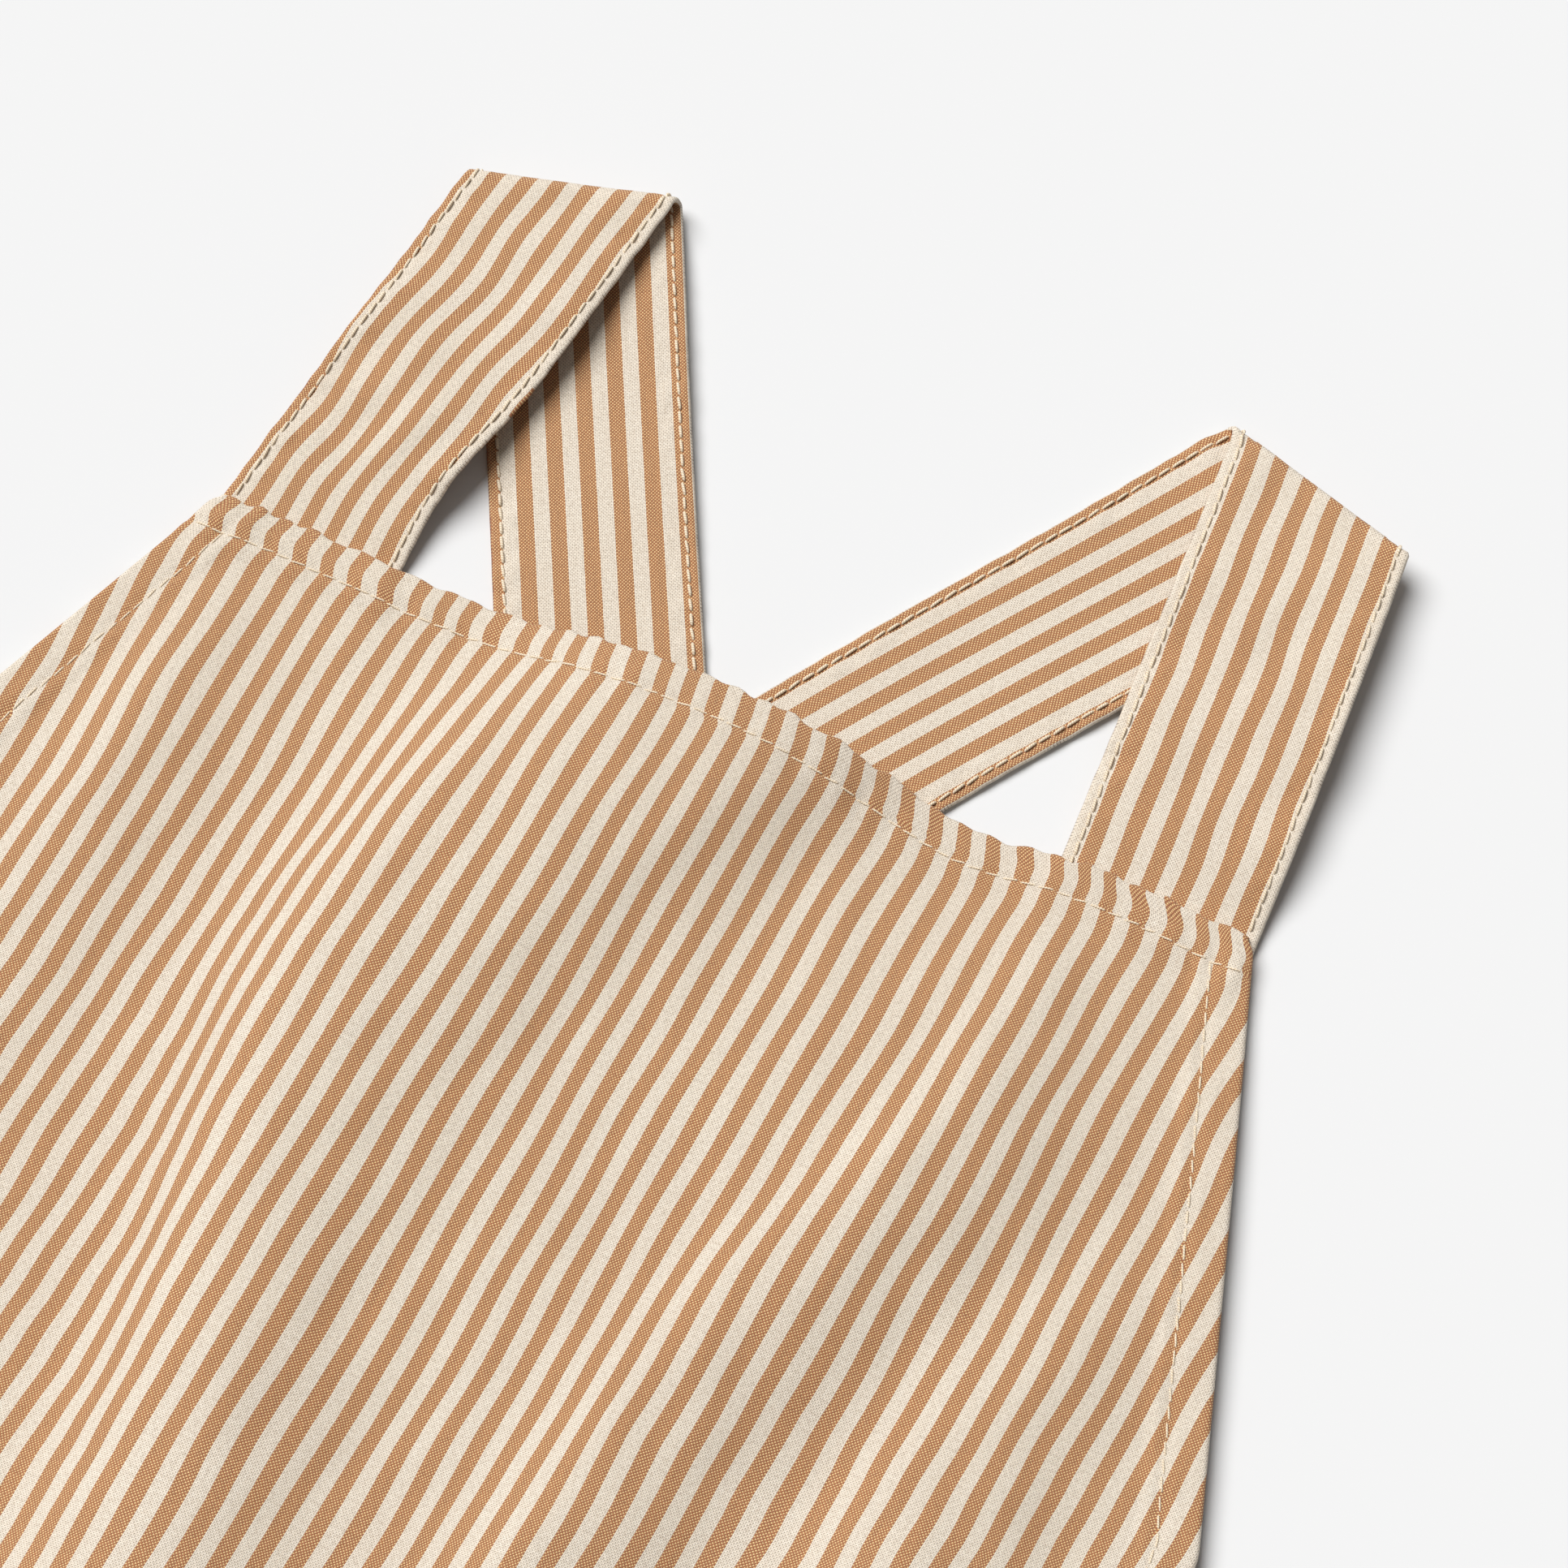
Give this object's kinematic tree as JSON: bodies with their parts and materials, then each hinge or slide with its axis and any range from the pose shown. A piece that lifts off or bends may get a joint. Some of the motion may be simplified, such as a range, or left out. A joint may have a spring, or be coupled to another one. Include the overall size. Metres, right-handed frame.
{
  "type": "child's apron",
  "caption": "Child's cross-back apron of striped cotton, lying flat, with its back panels folded behind and two strap loops that swing over the bib.",
  "frame": {"origin": "middle of the apron's footprint, on the surface it lies on", "axes": "+X across the bib to its right as seen from the front, +Y up the apron from hem to straps, +Z out of its front"},
  "size_m": [0.464, 0.6246, 0.0113],
  "materials": {
    "striped_cotton": "matte plain weave in caramel and cream stripes, about 3 mm each",
    "cream_thread": "matte sewing thread"
  },
  "bodies": {
    "apron": {"bottom_hem": "striped_cotton", "bottom_hem_stitching": "cream_thread", "front_panel": "striped_cotton", "left_armhole_hem": "striped_cotton", "left_armhole_stitching": "cream_thread", "left_back_bottom_hem": "striped_cotton", "left_back_edge_hem": "striped_cotton", "left_back_edge_stitching": "cream_thread", "left_back_panel": "striped_cotton", "left_back_top_hem": "striped_cotton", "left_side_fold": "striped_cotton", "left_strap_back": "striped_cotton", "left_strap_root": "striped_cotton", "left_strap_tack": "cream_thread", "right_armhole_hem": "striped_cotton", "right_armhole_stitching": "cream_thread", "right_back_bottom_hem": "striped_cotton", "right_back_edge_hem": "striped_cotton", "right_back_edge_stitching": "cream_thread", "right_back_panel": "striped_cotton", "right_back_top_hem": "striped_cotton", "right_side_fold": "striped_cotton", "right_strap_back": "striped_cotton", "right_strap_root": "striped_cotton", "right_strap_tack": "cream_thread", "top_hem": "striped_cotton", "top_hem_stitching": "cream_thread"},
    "left_strap_loop": {"left_strap_front": "striped_cotton", "left_strap_return": "striped_cotton", "left_shoulder_fold": "striped_cotton", "left_strap_front_stitching": "cream_thread", "left_strap_return_stitching": "cream_thread"},
    "right_strap_loop": {"right_strap_front": "striped_cotton", "right_strap_return": "striped_cotton", "right_shoulder_fold": "striped_cotton", "right_strap_front_stitching": "cream_thread", "right_strap_return_stitching": "cream_thread"}
  },
  "joints": [
    {"name": "left_strap_swing", "type": "hinge", "parent": "apron", "child": "left_strap_loop", "pos_m": [-0.083, 0.20972, 0.007], "axis": [1, 0, 0], "range_deg": [0, 170]},
    {"name": "right_strap_swing", "type": "hinge", "parent": "apron", "child": "right_strap_loop", "pos_m": [0.083, 0.20972, 0.007], "axis": [1, 0, 0], "range_deg": [0, 170]}
  ]
}
